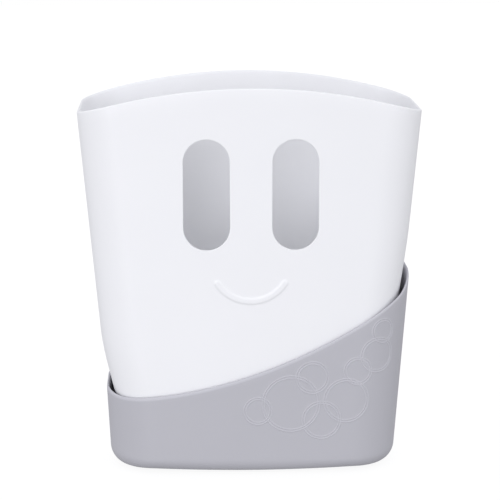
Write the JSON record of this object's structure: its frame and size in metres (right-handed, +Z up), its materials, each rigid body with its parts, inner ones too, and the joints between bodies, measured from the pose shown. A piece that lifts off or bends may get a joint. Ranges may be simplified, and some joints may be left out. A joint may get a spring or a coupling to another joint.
{
  "type": "bath toy organizer",
  "caption": "Free-standing bath toy organizer: a tapered drying bin with eye-shaped slots and a raised smile lifts out of a drip base whose rim sweeps up to one side.",
  "frame": {"origin": "under the middle of the overall box, on the plane that the feet stand on", "axes": "+Z up, the face with the eyes looks along -Y, +X to the right as seen from the front"},
  "size_m": [0.3048, 0.1648, 0.35],
  "materials": {
    "white_plastic": "satin white moulded plastic",
    "grey_plastic": "fine matte cool grey moulded plastic",
    "foot_rubber": "matte grey rubber"
  },
  "bodies": {
    "base": {"drip_base": "grey_plastic", "foot_front_left": "foot_rubber", "foot_front_right": "foot_rubber", "foot_rear_left": "foot_rubber", "foot_rear_right": "foot_rubber"},
    "bin": {"drying_bin": "white_plastic"}
  },
  "joints": [
    {"name": "bin_lift", "type": "slide", "parent": "base", "child": "bin", "axis": [0, 0, 1], "range_m": [0, 0.15]}
  ]
}
